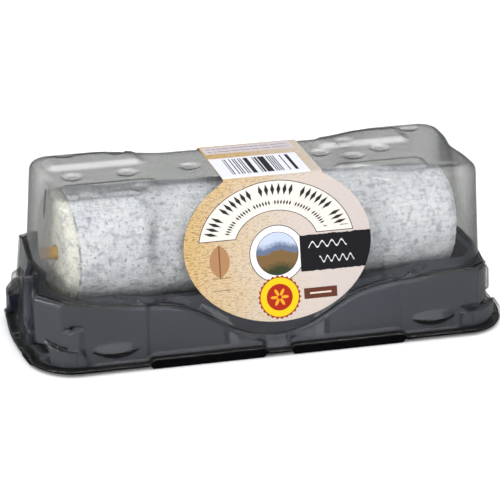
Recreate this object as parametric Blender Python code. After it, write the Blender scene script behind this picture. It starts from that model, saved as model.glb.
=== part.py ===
"""Shut pack of a goat's milk cheese log: clear lid, dark tray, log, straw and paper label.

X runs along the log, -Y is the front with the label, +Z is up. The origin is on the
surface that the feet stand on, under the middle of the pack. Sizes are in millimetres
and are turned into metres where the meshes are made.
"""

import math

import bmesh
import bpy
from mathutils import Vector, noise

MM = 0.001

# Pack
HALF_LENGTH = 104.5          # middle of an end, out to the flange's edge
HALF_DEPTH = 44.5            # long side, out to the flange's edge
LID_HEIGHT = 71.0
LID_WALL = 0.5
TRAY_WALL = 0.6
GAP = 0.35                   # between pieces that touch
FLANGE_WIDTH = 4.0
FLANGE_TOP = 2.9             # flange between the feet
FOOT_LIFT = 1.9              # how much the flange arches up over a foot
HEEL = 0.3                   # slope of a foot's inner side
FLANGE_CORNER = 18.0
FLANGE_FILLET = 0.9          # set-back and lift where the flange turns up into the skirt
FLANGE_FILLET_RISE = 1.2
TRAY_EDGE_INSET = 0.6        # the tray's flange ends inside the lid's
END_BOW = 5.0                # how far the flange's ends bulge in plan

# Skirt, the steep wall from the flange up to the ridge
SKIRT_TOP_DRAFT = 1.4
SKIRT_END_DRAFT = 4.2
SKIRT_TOP_CORNER = 9.0
SKIRT_TOP_BOW = 2.5
RIDGE_LOW = 7.8              # ridge height in the middle of a long side
RIDGE_SWEEP = 12.0           # rise of the ridge from there to the ends
RIDGE_SWEEP_HALF = 28.5
RIDGE_SLOPE = 0.115
RIDGE_END_TILT = 1.6         # the ridge is higher round the left end, lower round the right
RIDGE_TILT_SPAN = (70.0, 95.0)
RIDGE_ROUND = 0.9            # height and width of the ridge's rounded crest
RIDGE_ROUND_WIDTH = 0.8
LEDGE_RISE = 0.2             # ledge behind the ridge, above the ridge's line
PROUD = 0.7                  # pilasters and end blocks stand out this much

# Upper wall: a leaning label panel between two steeper end blocks
PANEL_FOOT_Y = 37.3
PANEL_FOOT_Z = 8.5
PANEL_TOP_Y = 22.5
BLOCK_FOOT_Y = 36.2
BLOCK_TOP_Y = 31.5
END_FOOT_X = 94.3
END_TOP_X = 90.6
END_RECESS = 2.2             # hollow in the middle of each end, at the top
END_RECESS_HALF = 10.0
FOOT_Z = 30.0
FOOT_CORNER = 16.0
FOOT_BOW = 2.0
TOP_CORNER = 8.5
SMALLEST_CORNER = 2.0
PANEL_HALF = 46.0            # flat half-width of the panel at its widest
PANEL_WIDEST_Z = 42.0
PANEL_NARROWING = 10.0
BLOCK_START = 55.0
BLOCK_SPREAD = 4.0
BEND = 4.0                   # radius of the lid's top edge
WALL_SHARES = (0.35, 0.7, 1.0)

# Tray inside the lid
SHELF_Z = 26.0
SHELF_END_Z = 28.2
SHELF_SET_BACK = 0.8
TROUGH_HALF_LENGTH = 90.8
TROUGH_HALF_WIDTH = 26.8     # at the middle, wider at the log's thick end
TROUGH_TAPER = 2.7
TROUGH_CORNER = 8.0
TROUGH_FLOOR = 15.2
TROUGH_SIDE_Z = 20.5
# How much narrower and shorter the trough is than its rim: at the shelf, half way, at its floor
TROUGH_STEPS = ((0.0, 0.0, SHELF_Z), (6.0, 0.9, TROUGH_SIDE_Z), (15.0, 2.25, TROUGH_FLOOR))

# Cheese log and its straw
LOG_LEFT = -86.3
LOG_RIGHT = 85.5
LOG_RADIUS_LEFT = 24.7
LOG_RADIUS_RIGHT = 22.9
LOG_ROUND_LEFT = 4.5
LOG_DISH = 1.5               # hollow of the thick end round the straw
LOG_ROUND_RIGHT = 7.0
LOG_SIDES = 36
RIND_RELIEF = 0.45
LUMPS_PER_MM = 0.11
STRAW_RADIUS = 2.7
STRAW_CUT = 0.6              # length and narrowing of the straw's cut ends
STRAW_SIDES = 12
STRAW_LEFT = -91.0
STRAW_RIGHT = 86.5
STRAW_Z_LEFT = 38.4
STRAW_Z_RIGHT = 38.6

# Label
LABEL_X = 3.0
LABEL_HALF_WIDTH = 40.2
LABEL_HALF_HEIGHT = 32.4
LABEL_CENTRE = 36.5          # up the panel from its foot
TAB_HALF_WIDTH = 21.3
LABEL_THICKNESS = 0.3
LABEL_COLUMNS = 12
LABEL_ROWS = 16
LABEL_ANGLES = (4.0, 138.0)  # rows of the oval, from its lowest point up

# Columns of the pack's surface in one quarter, from the middle of a long side
# to the middle of an end. The second value says whether a foot is there; at the
# ends it is given for the front half and for the back half.
LONG_COLUMNS = [(0, 0), (4.5, 0), (7, 1), (14, 1), (21, 1), (28, 1), (35, 1), (42, 1),
                (46, 1), (50, 1), (53, 1), (56, 0), (62, 0), (68, 0), (76, 0)]
CORNER_ANGLES = [15, 30, 45, 60, 75, 90]
END_COLUMNS = [(0.97, (1, 1)), (0.8, (1, 1)), (0.62, (1, 1)), (0.5, (0, 1)), (0.25, (0, 1)),
               (0.1, (0, 1)), (0.0, (1, 1))]
FIXED_LONG = 56.0            # columns up to here keep their x at every height
CORNER_START = LONG_COLUMNS[-1][0]


def lerp(a, b, t):
    return a + (b - a) * t


def smooth(edge0, edge1, value):
    t = min(max((value - edge0) / (edge1 - edge0), 0.0), 1.0)
    return t * t * (3.0 - 2.0 * t)


def quarter_columns():
    columns = [("long", x, (foot, foot)) for x, foot in LONG_COLUMNS]
    columns += [("corner", math.radians(angle), (0, 0)) for angle in CORNER_ANGLES]
    columns += [("end", share, feet) for share, feet in END_COLUMNS]
    return columns


def loop_columns():
    """Every column round the pack, counter-clockwise from the middle of the front."""
    quarter = quarter_columns()
    forward, backward = quarter[:-1], quarter[:0:-1]
    loop = []
    for sign_x, sign_y, part in ((1, -1, forward), (1, 1, backward), (-1, 1, forward), (-1, -1, backward)):
        loop += [(sign_x, sign_y, kind, value, feet[sign_y > 0]) for kind, value, feet in part]
    return loop


def plan_point(column, a, b, radius, bow):
    """Point of a rounded rectangle of half sizes a and b, in the first quarter."""
    kind, value = column[2], column[3]
    if kind == "long":
        x, y = value, b
        if value > FIXED_LONG:
            share = (value - FIXED_LONG) / (CORNER_START - FIXED_LONG)
            x = lerp(FIXED_LONG, a - radius, share)
    elif kind == "corner":
        x = a - radius + radius * math.sin(value)
        y = b - radius + radius * math.cos(value)
    else:
        x, y = a, (b - radius) * value
    reach = min(max((x - FIXED_LONG) / (a - FIXED_LONG), 0.0), 1.0)
    return x - bow * (y / b) ** 2 * reach ** 2, y


def ridge_height(x):
    swell = 1.0 - math.exp(-(abs(x) / RIDGE_SWEEP_HALF) ** 3)
    tilt = math.copysign(RIDGE_END_TILT * smooth(*RIDGE_TILT_SPAN, abs(x)), -x)
    return RIDGE_LOW + RIDGE_SWEEP * swell + RIDGE_SLOPE * abs(x) + tilt


def flange_z(column):
    return FLANGE_TOP + FOOT_LIFT * column[4]


def is_proud(column):
    kind, value = column[2], column[3]
    if kind == "long":
        return value < 5.0 or value >= FIXED_LONG
    return kind == "corner" or value < 0.2 or value > 0.8


def skirt_point(column, rise, inset, drop):
    """Skirt wall: rise 0 is its foot, rise 1 is just under the ridge."""
    proud = PROUD if is_proud(column) else 0.0
    depth = HALF_DEPTH - FLANGE_WIDTH - SKIRT_TOP_DRAFT * rise - PROUD + proud - inset
    length = HALF_LENGTH - FLANGE_WIDTH - SKIRT_END_DRAFT * rise - PROUD + proud - inset
    radius = lerp(FLANGE_CORNER - FLANGE_WIDTH, SKIRT_TOP_CORNER, rise) - inset
    x, y = plan_point(column, length, depth, radius, lerp(END_BOW, SKIRT_TOP_BOW, rise))
    foot = flange_z(column) + FLANGE_FILLET_RISE
    return x, y, lerp(foot, ridge_height(column[0] * x) - RIDGE_ROUND, rise) - drop


def panel_half(z):
    slope = (PANEL_FOOT_Y - PANEL_TOP_Y) / (LID_HEIGHT - PANEL_FOOT_Z)
    return PANEL_FOOT_Y - slope * (z - PANEL_FOOT_Z)


def block_half(z):
    slope = (BLOCK_FOOT_Y - BLOCK_TOP_Y) / (LID_HEIGHT - FOOT_Z)
    return BLOCK_FOOT_Y - slope * (z - FOOT_Z)


def wall_half(x, z):
    """Half depth of the upper wall: panel in the middle, blocks towards the ends."""
    high = max(z - PANEL_WIDEST_Z, 0.0) / (LID_HEIGHT - PANEL_WIDEST_Z)
    start = PANEL_HALF - PANEL_NARROWING * high ** 2
    full = BLOCK_START + BLOCK_SPREAD * high ** 2
    return lerp(panel_half(z), block_half(z), smooth(start, full, abs(x)))


def wall_point(column, z, inset, drop):
    """Upper wall of the lid at height z."""
    up = (z - FOOT_Z) / (LID_HEIGHT - FOOT_Z)
    length = lerp(END_FOOT_X, END_TOP_X, up) - inset
    radius = lerp(FOOT_CORNER, TOP_CORNER, min(max(up, 0.0), 1.0)) - inset
    radius = max(radius, SMALLEST_CORNER)
    if column[2] == "long":
        x = plan_point(column, length, 1.0, radius, 0.0)[0]
        depth = wall_half(x, z) - inset
    else:
        depth = block_half(z) - inset
    x, y = plan_point(column, length, depth, radius, FOOT_BOW * (1.0 - up))
    if column[2] == "end":
        x -= END_RECESS * max(up, 0.0) * math.exp(-(y / END_RECESS_HALF) ** 2)
    return x, y, z - drop


def ridge_foot_z(column):
    x = plan_point(column, END_FOOT_X, 1.0, FOOT_CORNER, 0.0)[0]
    return ridge_height(column[0] * x) + LEDGE_RISE


def signed(column, point):
    return Vector((column[0] * point[0], column[1] * point[1], point[2])) * MM


def flange_ring(columns, inset, drop):
    ring = []
    for column in columns:
        radius = FLANGE_CORNER - inset
        x, y = plan_point(column, HALF_LENGTH - inset, HALF_DEPTH - inset, radius, END_BOW)
        ring.append(signed(column, (x, y, flange_z(column) - drop)))
    return ring


def crest_ring(columns, inset, drop):
    ring = []
    for column in columns:
        x, y, z = skirt_point(column, 1.0, inset + RIDGE_ROUND_WIDTH, drop)
        ring.append(signed(column, (x, y, z + RIDGE_ROUND)))
    return ring


def shell_rings(columns, inset, drop, edge_inset):
    """Rings that the lid and the tray share: flange, skirt, ridge and ledge."""
    rings = [flange_ring(columns, edge_inset, drop)]
    rings.append(flange_ring(columns, FLANGE_WIDTH - FLANGE_FILLET + inset, drop))
    for rise in (0.0, 1.0):
        rings.append([signed(c, skirt_point(c, rise, inset, drop)) for c in columns])
    rings.append(crest_ring(columns, inset, drop))
    rings.append([signed(c, wall_point(c, ridge_foot_z(c), inset, drop)) for c in columns])
    return rings


def lid_rings(columns, inset):
    rings = shell_rings(columns, inset, inset, 0.0)
    top = LID_HEIGHT - BEND
    for share in WALL_SHARES:
        rings.append([signed(c, wall_point(c, lerp(ridge_foot_z(c), top, share), inset, inset))
                      for c in columns])
    for angle in (45, 90):
        turn = math.radians(angle)
        tuck = BEND * (1.0 - math.cos(turn))
        lift = BEND * math.sin(turn)
        ring = []
        for column in columns:
            x, y, z = wall_point(column, top, inset + tuck, inset)
            ring.append(signed(column, (x, y, z + lift)))
        rings.append(ring)
    return rings


def shelf_height(x):
    return lerp(SHELF_Z, SHELF_END_Z, smooth(50.0, 68.0, abs(x)))


def shelf_point(column, inset, drop):
    x = plan_point(column, END_FOOT_X, 1.0, FOOT_CORNER, 0.0)[0]
    set_back = SHELF_SET_BACK if x > FIXED_LONG else 0.0
    return wall_point(column, shelf_height(x) + drop, inset + set_back, drop)


def trough_point(column, narrower, shorter, z, grow):
    """Trough for the log, a little wider at the log's thick end."""
    length = TROUGH_HALF_LENGTH - shorter + grow
    radius = TROUGH_CORNER + grow
    x = plan_point(column, length, 1.0, radius, 0.0)[0]
    width = TROUGH_HALF_WIDTH - TROUGH_TAPER * column[0] * x / TROUGH_HALF_LENGTH
    x, y = plan_point(column, length, width - narrower + grow, radius, 0.0)
    if z == SHELF_Z:
        z = shelf_height(x)
    return x, y, z


def trough_rings(columns, grow):
    """The trough's rings; the underside is grown and lowered by the wall."""
    rings = []
    for narrower, shorter, z in TROUGH_STEPS:
        ring = []
        for column in columns:
            x, y, height = trough_point(column, narrower, shorter, z, grow)
            ring.append(signed(column, (x, y, height - grow)))
        rings.append(ring)
    return rings


def tray_upper_rings(columns):
    shift = LID_WALL + GAP
    rings = shell_rings(columns, shift, shift, TRAY_EDGE_INSET)
    rings.append([signed(c, shelf_point(c, shift, shift)) for c in columns])
    return rings + trough_rings(columns, 0.0)


def tray_under_rings(columns):
    shift = LID_WALL + GAP + TRAY_WALL
    rings = shell_rings(columns, shift, shift, TRAY_EDGE_INSET)
    rings[0] = foot_ring(rings[0], columns)
    heel = flange_ring(columns, FLANGE_WIDTH, shift)
    rings.insert(1, foot_ring(heel, columns))
    rings[2] = flange_ring(columns, FLANGE_WIDTH + HEEL, shift)
    rings.append([signed(c, shelf_point(c, shift, shift)) for c in columns])
    return rings + trough_rings(columns, TRAY_WALL)


def foot_ring(ring, columns):
    """Brings the ring down to the ground along each foot."""
    return [Vector((p.x, p.y, 0.0 if c[4] else p.z)) for p, c in zip(ring, columns)]


def bridge(bm, first, second):
    count = len(first)
    for i in range(count):
        j = (i + 1) % count
        bm.faces.new((first[i], first[j], second[j], second[i]))


def shell_mesh(name, outer, inner):
    """Closed shell from two stacks of rings that meet at their first ring."""
    bm = bmesh.new()
    stacks = [[[bm.verts.new(p) for p in ring] for ring in stack] for stack in (outer, inner)]
    for stack in stacks:
        for lower, upper in zip(stack, stack[1:]):
            bridge(bm, lower, upper)
        bm.faces.new(stack[-1])
    bridge(bm, stacks[0][0], stacks[1][0])
    bmesh.ops.triangulate(bm, faces=[f for f in bm.faces if len(f.verts) > 4])
    return finish_mesh(name, bm)


def finish_mesh(name, bm):
    bmesh.ops.recalc_face_normals(bm, faces=bm.faces[:])
    mesh = bpy.data.meshes.new(name)
    bm.to_mesh(mesh)
    bm.free()
    return mesh


def add_piece(name, mesh, material, angle=40.0):
    obj = bpy.data.objects.new(name, mesh)
    bpy.context.collection.objects.link(obj)
    mesh.materials.append(material)
    mesh.shade_smooth()
    mesh.set_sharp_from_angle(angle=math.radians(angle))
    return obj


def make_material(name, colour, roughness, alpha=1.0):
    material = bpy.data.materials.new(name)
    material.use_nodes = True
    shader = material.node_tree.nodes["Principled BSDF"]
    shader.inputs["Base Color"].default_value = (*colour, 1.0)
    shader.inputs["Roughness"].default_value = roughness
    shader.inputs["Metallic"].default_value = 0.0
    shader.inputs["Alpha"].default_value = alpha
    return material


def make_lid():
    columns = loop_columns()
    mesh = shell_mesh("lid", lid_rings(columns, 0.0), lid_rings(columns, LID_WALL))
    return add_piece("lid", mesh, make_material("clear plastic", (0.8, 0.82, 0.8), 0.08, 0.3))


def make_tray():
    columns = loop_columns()
    mesh = shell_mesh("tray", tray_upper_rings(columns), tray_under_rings(columns))
    return add_piece("tray", mesh, make_material("slate plastic", (0.07, 0.075, 0.09), 0.35))


def log_radius(x):
    """Tapered radius with rounded ends."""
    share = (x - LOG_LEFT) / (LOG_RIGHT - LOG_LEFT)
    radius = lerp(LOG_RADIUS_LEFT, LOG_RADIUS_RIGHT, share)
    for end, rounding in ((x - LOG_LEFT, LOG_ROUND_LEFT), (LOG_RIGHT - x, LOG_ROUND_RIGHT)):
        if end < rounding:
            radius -= rounding - math.sqrt(rounding ** 2 - (rounding - end) ** 2)
    return radius


def log_axis_z(x):
    share = (x - LOG_LEFT) / (LOG_RIGHT - LOG_LEFT)
    return TROUGH_FLOOR + GAP + RIND_RELIEF + lerp(LOG_RADIUS_LEFT, LOG_RADIUS_RIGHT, share)


def straw_axis(x):
    share = (x - STRAW_LEFT) / (STRAW_RIGHT - STRAW_LEFT)
    return Vector((x, 0.0, lerp(STRAW_Z_LEFT, STRAW_Z_RIGHT, share)))


def log_stations():
    left = [LOG_LEFT + LOG_ROUND_LEFT * (1.0 - math.cos(math.radians(a))) for a in (0, 35, 65, 90)]
    right = [LOG_RIGHT - LOG_ROUND_RIGHT * (1.0 - math.cos(math.radians(a))) for a in (90, 65, 40, 15, 0)]
    count = 13
    middle = [lerp(left[-1], right[0], k / count) for k in range(1, count)]
    return left + middle + right


def log_ring(x):
    ring = []
    for k in range(LOG_SIDES):
        angle = 2.0 * math.pi * k / LOG_SIDES
        out = Vector((0.0, math.cos(angle), math.sin(angle)))
        place = Vector((x, 0.0, log_axis_z(x))) + out * log_radius(x)
        lump = noise.noise(place * LUMPS_PER_MM) * RIND_RELIEF
        ring.append((place + out * lump) * MM)
    return ring


def bore_ring(x):
    ring = []
    for k in range(LOG_SIDES):
        angle = 2.0 * math.pi * k / LOG_SIDES
        out = Vector((0.0, math.cos(angle), math.sin(angle)))
        ring.append((straw_axis(x) + out * (STRAW_RADIUS + GAP)) * MM)
    return ring


def make_cheese():
    bm = bmesh.new()
    rings = [log_ring(x) for x in log_stations()]
    rings = [bore_ring(LOG_LEFT + LOG_DISH)] + rings + [bore_ring(LOG_RIGHT)]
    loops = [[bm.verts.new(p) for p in ring] for ring in rings]
    for first, second in zip(loops, loops[1:] + loops[:1]):
        bridge(bm, first, second)
    mesh = finish_mesh("cheese", bm)
    return add_piece("cheese", mesh, make_material("bloomy rind", (0.62, 0.62, 0.66), 0.85))


def make_straw():
    bm = bmesh.new()
    cut = STRAW_RADIUS - STRAW_CUT
    stops = ((STRAW_LEFT, cut), (STRAW_LEFT + STRAW_CUT, STRAW_RADIUS),
             (STRAW_RIGHT - STRAW_CUT, STRAW_RADIUS), (STRAW_RIGHT, cut))
    loops = []
    for x, radius in stops:
        loop = []
        for k in range(STRAW_SIDES):
            angle = 2.0 * math.pi * k / STRAW_SIDES
            out = Vector((0.0, math.cos(angle), math.sin(angle))) * radius
            loop.append(bm.verts.new((straw_axis(x) + out) * MM))
        loops.append(loop)
    for first, second in zip(loops, loops[1:]):
        bridge(bm, first, second)
    bm.faces.new(loops[0])
    bm.faces.new(loops[-1])
    mesh = finish_mesh("straw", bm)
    return add_piece("straw", mesh, make_material("rye straw", (0.48, 0.3, 0.08), 0.6))


def front_profile():
    """The lid's outline in the plane x = 0, from the panel's foot to the rear bend."""
    top = LID_HEIGHT - BEND
    edge = panel_half(top)
    points = [(-panel_half(PANEL_FOOT_Z), PANEL_FOOT_Z), (-edge, top)]
    for angle in (45, 90):
        turn = math.radians(angle)
        points.append((-edge + BEND * (1.0 - math.cos(turn)), top + BEND * math.sin(turn)))
    points += [(-y, z) for y, z in points[:1:-1]]
    return [Vector(p) for p in points]


def offset_profile(points, distance):
    """The profile moved outwards by a distance along its mean normals."""
    moved = []
    for k, point in enumerate(points):
        before = (point - points[max(k - 1, 0)])
        after = (points[min(k + 1, len(points) - 1)] - point)
        if before.length == 0.0:
            before = after
        if after.length == 0.0:
            after = before
        normals = [Vector((-d.y, d.x)).normalized() for d in (before, after)]
        mean = (normals[0] + normals[1]).normalized()
        moved.append(point + mean * distance / mean.dot(normals[0]))
    return moved


def label_rows():
    """Rows of the label: segment of the profile, share along it, and half width."""
    profile = front_profile()
    panel_length = (profile[1] - profile[0]).length
    rows = []
    for k in range(LABEL_ROWS + 1):
        angle = math.radians(lerp(*LABEL_ANGLES, k / LABEL_ROWS))
        up = min(LABEL_CENTRE - LABEL_HALF_HEIGHT * math.cos(angle), panel_length)
        width = LABEL_HALF_WIDTH * math.sqrt(1.0 - ((up - LABEL_CENTRE) / LABEL_HALF_HEIGHT) ** 2)
        rows.append((0, up / panel_length, width))
        if up >= panel_length:
            break
    rows.append((1, 1.0, TAB_HALF_WIDTH))
    rows.append((2, 1.0, TAB_HALF_WIDTH))
    for share in (0.33, 0.67, 1.0):
        rows.append((3, share, TAB_HALF_WIDTH))
    rows.append((4, 1.0, TAB_HALF_WIDTH))
    return rows


def make_label():
    columns = LABEL_COLUMNS
    bm = bmesh.new()
    sheets = []
    for distance in (GAP + LABEL_THICKNESS, GAP):
        profile = offset_profile(front_profile(), distance)
        sheet = []
        for segment, share, width in label_rows():
            y, z = profile[segment].lerp(profile[segment + 1], share)
            sheet.append([bm.verts.new(Vector((LABEL_X + width * (2.0 * k / columns - 1.0), y, z)) * MM)
                          for k in range(columns + 1)])
        for row, above in zip(sheet, sheet[1:]):
            for k in range(columns):
                bm.faces.new((row[k], row[k + 1], above[k + 1], above[k]))
        sheets.append(sheet)
    rims = []
    for sheet in sheets:
        right = [row[-1] for row in sheet[1:-1]]
        left = [row[0] for row in sheet[-2:0:-1]]
        rims.append(sheet[0] + right + sheet[-1][::-1] + left)
    bridge(bm, rims[0], rims[1])
    mesh = finish_mesh("label", bm)
    return add_piece("label", mesh, make_material("printed paper", (0.75, 0.62, 0.42), 0.6))


def clear_scene():
    for obj in list(bpy.data.objects):
        bpy.data.objects.remove(obj, do_unlink=True)


def main():
    clear_scene()
    make_tray()
    make_lid()
    make_cheese()
    make_straw()
    make_label()


main()
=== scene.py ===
import math

import bmesh
import bpy
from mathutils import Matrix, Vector, noise


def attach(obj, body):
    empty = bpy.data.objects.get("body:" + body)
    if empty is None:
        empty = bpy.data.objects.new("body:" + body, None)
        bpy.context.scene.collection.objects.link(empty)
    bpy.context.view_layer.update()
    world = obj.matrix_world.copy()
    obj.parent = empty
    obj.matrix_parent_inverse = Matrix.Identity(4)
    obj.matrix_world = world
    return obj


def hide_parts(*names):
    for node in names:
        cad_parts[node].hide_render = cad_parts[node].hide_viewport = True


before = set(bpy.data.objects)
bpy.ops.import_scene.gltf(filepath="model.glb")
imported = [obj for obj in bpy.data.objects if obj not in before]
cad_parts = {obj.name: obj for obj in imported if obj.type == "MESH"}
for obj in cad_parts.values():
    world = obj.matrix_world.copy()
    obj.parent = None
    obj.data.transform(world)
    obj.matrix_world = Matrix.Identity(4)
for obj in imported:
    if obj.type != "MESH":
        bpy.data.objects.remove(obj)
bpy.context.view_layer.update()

bl_info = {
    "name": "Packed goat cheese log",
    "version": (1, 0, 0),
    "blender": (4, 5, 0),
    "location": "View3D > Sidebar > Cheese pack",
    "description": "Dresses a shut cheese pack: clear lid, slate tray, ash rind log, straw, paper label",
    "category": "Object",
}

MM = 0.001
BODY = "root"

# The pack's form in millimetres. What its solids have too has their values
HALF_LENGTH = 104.5
HALF_DEPTH = 44.5
LID_HEIGHT = 71.0
FLANGE_WIDTH = 4.0
FLANGE_TOP = 2.9
FOOT_LIFT = 1.9
FLANGE_CORNER = 18.0
FLANGE_FILLET_RISE = 1.2
END_BOW = 5.0
SKIRT_TOP_DRAFT = 1.4
SKIRT_END_DRAFT = 4.2
SKIRT_TOP_CORNER = 9.0
SKIRT_TOP_BOW = 2.5
RIDGE_LOW = 7.8
RIDGE_SWEEP = 12.0
RIDGE_SWEEP_HALF = 28.5
RIDGE_SLOPE = 0.115
RIDGE_END_TILT = 1.6
RIDGE_TILT_SPAN = (70.0, 95.0)
REAR_LEFT_RISE = 3.5          # the ridge climbs this much to the rear left corner
REAR_LEFT_SPANS = ((72.0, 92.0), (2.0, 30.0))     # of x to the left and y to the rear
RIDGE_ROUND = 2.4             # height of its rounding
RIDGE_TUCK, WIDEST_TUCK = 1.8, 0.65    # the rounding's width in mm, and its greatest share of the ledge
GROOVE = 1.0                  # depth
# The groove behind the ridge, (mm past the rounding, greatest share of what is left of the ledge), depth
GROOVE_ROWS = (((0.3, 0.25), GROOVE), ((1.2, 0.65), GROOVE), ((1.7, 0.92), 0.0))
LEDGE_RISE = 0.2
PANEL_FOOT_Y = 37.3
PANEL_FOOT_Z = 8.5
PANEL_TOP_Y = 22.5
BLOCK_FOOT_Y = 36.2
BLOCK_TOP_Y = 31.5
END_FOOT_X = 94.3
END_TOP_X = 90.6
END_RECESS = 2.2
END_RECESS_HALF = 10.0
FOOT_Z = 30.0
FOOT_CORNER = 16.0
FOOT_BOW = 2.0
TOP_CORNER = 8.5
SMALLEST_CORNER = 2.0
PANEL_HALF = 46.0
PANEL_WIDEST_Z = 42.0
PANEL_NARROWING = 10.0
BLOCK_START = 55.0
BLOCK_SPREAD = 4.0
REAR_NARROWING, REAR_SPREAD = 20.0, 12.0     # the same at the rear, where the change is longer
BEND = 4.0
SHELF_Z = 26.0
SHELF_END_Z = 28.2
SHELF_CLIMB = (50.0, 68.0)    # the shelf climbs to its ends over this span of x
SHELF_SET_BACK = 0.8
TROUGH_HALF_LENGTH = 90.8
TROUGH_HALF_WIDTH = 26.8
TROUGH_TAPER = 2.7
TROUGH_CORNER = 8.0
TROUGH_STEPS = ((0.0, 0.0, 26.0), (6.0, 0.9, 20.5), (15.0, 2.25, 15.2))    # (narrower, shorter, height)
LID_TO_TRAY = 0.85
LOG_LEFT = -86.3
LOG_RIGHT = 85.5
LOG_RADIUS_LEFT = 24.7
LOG_RADIUS_RIGHT = 22.9
LOG_REST = 16.0              # height of the log's underside
LOG_ROUND_LEFT = 4.5
LOG_SLANT = 0.11              # the left end is cut at a slant, its front edge further in
LOG_ROUND_RIGHT = 7.0
LOG_DISH = 1.5
SLANT_SPAN = (-60.0, -80.0)   # from no slant to all of it
RIND_LUMPS = ((0.16, 0.5), (0.5, 0.35), (1.1, 0.15))     # (lumps per mm, share of the relief)
RIND_SINK = 0.15              # the relief's middle lies this share of its depth under the solid's surface
BORE_RADIUS = 3.05
STRAW_LEFT = -91.0
STRAW_RIGHT = 86.5
STRAW_Z_LEFT = 38.4
STRAW_Z_RIGHT = 38.6
STRAW_WALL, STRAW_HOLE = 0.6, 8.0     # its wall, and how deep it is open at each end
LABEL_X = 3.0
LABEL_HALF_WIDTH = 40.2
LABEL_HALF_HEIGHT = 32.4
LABEL_CENTRE = 36.5
TAB_HALF_WIDTH = 21.3
LABEL_LIFT = 0.4              # its underside over the lid's outer side

# Columns of the moulded shells in one quarter: a long side's columns keep their x up to FIXED_LONG, and
# those from there to CORNER_START stretch to reach the corner. More stand at edges of the form
FIXED_LONG = 56.0
CORNER_START = 76.0
COLUMN_PITCH = 1.4
PILASTER_COLUMNS = [4.3, 4.7, 5.2, 5.9, 6.6, 53.6, 54.1, 55.1]
BLOCK_COLUMNS = [69.85, 70.2, 73.4, 73.9]
END_COLUMNS = [0.275, 0.3, 0.705]     # as shares of the end

# Flange and feet
FLANGE_LIP = 0.7
FLANGE_PROFILE = ((0.0, -FLANGE_LIP), (0.0, -0.3), (0.25, 0.0), (1.0, 0.0), (1.8, 0.0), (2.6, 0.0),
                  (3.2, 0.06), (3.5, 0.2), (3.8, 0.55))     # from its edge, (inwards, lift)
FLANGE_ROWS = 7               # those before its fillet
FILLET_START = 3.0
TRAY_EDGE = 0.6               # the tray's flange ends this far inside the lid's
LONG_FEET = (5.6, 54.6)
END_FEET = (15.2, 27.2)       # on an end's front half; its back half is one foot up to 27.2
MIDDLE_FOOT = (0.6, 3.2)      # where that foot stops on the front half
FOOT_RAMP = 2.6
FOOT_RAIL = ((3.2, 0.0), (3.2, 0.5), (3.0, 0.9), (2.6, 1.0), (1.4, 1.0), (0.5, 1.0), (0.15, 0.92),
             (0.0, 0.5))      # from its inner side, (inset, share of the way down)
# below this height of normal the tray's faces are painted in shade
UNDERSIDE = -0.2              # a face whose normal has less height than this is in the shade

# Skirt
SKIRT_ROWS = 32
SKIRT_FACET = 0.66            # size of the skirt's flat corner facet over its solid's corner radius
FACET_GROWTH = 0.586          # what keeps a 45 degree facet parallel when its walls move out
# The skirt over its foot, (half length, bow, facet): straight at the front left, shorter at the right
FRONT_LEFT_PLAN = (100.0, 0.0, 8.9)
RIGHT_PLAN = (96.05, 5.0, 3.3)
FRONT_LEFT_HEIGHTS, RIGHT_HEIGHTS = (5.5, 12.0), (6.0, 13.0)     # between which it takes that plan
HALF_END, END_CHANGE = 30.0, 9.0       # the left end changes plan over this much each side of its middle
PILASTER = 0.7                # how far a pilaster stands out
MIDDLE_PILASTER, CORNER_PILASTER, END_PILASTER = (4.3, 4.8), (53.8, 55.4), (8.5, 9.3)     # their edges
# Snap pills on the long sides, and ribs on the lid's ends
PILL_X, PILL_HALF = 67.9, 8.8
PILL_LOW, PILL_LIP, PILL_HIGH = 5.1, 8.1, 11.6
PILL_SMILE = 0.6              # the lip's rise to the pill's ends
LID_PILL, TRAY_PILL = 2.3, 2.2
RIB_Y, RIB_Z = 21.0, 18.0
RIB_STRAIGHT, RIB_RADIUS, RIB_PROUD = 3.0, 3.2, 3.4
# Blocks on the flange's corners
CORNER_SET_BACK = {(-1, -1): 2.2, (1, -1): 2.6, (-1, 1): 0.9, (1, 1): 2.2}     # from the flange's edge
CORNER_X, CORNER_Y = 80.3, 22.0        # where they start
FRONT_TOP, REAR_TOP = 10.6, 14.0
LEFT_TOP, LEFT_CLIMB, CLIMB_SPAN = 10.4, 4.1, (86.0, 98.0)     # the front left one climbs to the end
LEFT_STOP, RIGHT_STOP = (0.58, 0.66), (0.7, 1.0)     # shares of the facet where the front ones stop
TURN_SPAN = (84.0, 91.0)      # where a block turns with the flange's corner
SLIT, SLIT_DEPTH = (0.5, 1.9), 0.9     # over a block's top
# The front left block has a higher step up to STEP_END_X
STEP_END_X = 86.5
STEP_PROUD, STEP_HEIGHTS, STEP_TOP = (2.4, 1.7), (9.0, 18.0), (18.4, 18.9)
STEP_SLIT, STEP_SLIT_DEPTH = (19.2, 20.6), 0.8
# The front left corner is hollow under a lip, and its end stands back beside the pilaster
UNDERCUT_Y, UNDERCUT_LIP = (13.6, 14.6), (11.4, 12.3)
UNDERCUT_DEPTHS, UNDERCUT_HEIGHTS = (1.2, 4.4), (12.0, 4.0)
RECESS, RECESS_START, RECESS_END, RECESS_HEIGHTS = 4.0, (8.4, 9.1), (9.1, 29.0), (8.0, 12.0)

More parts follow.
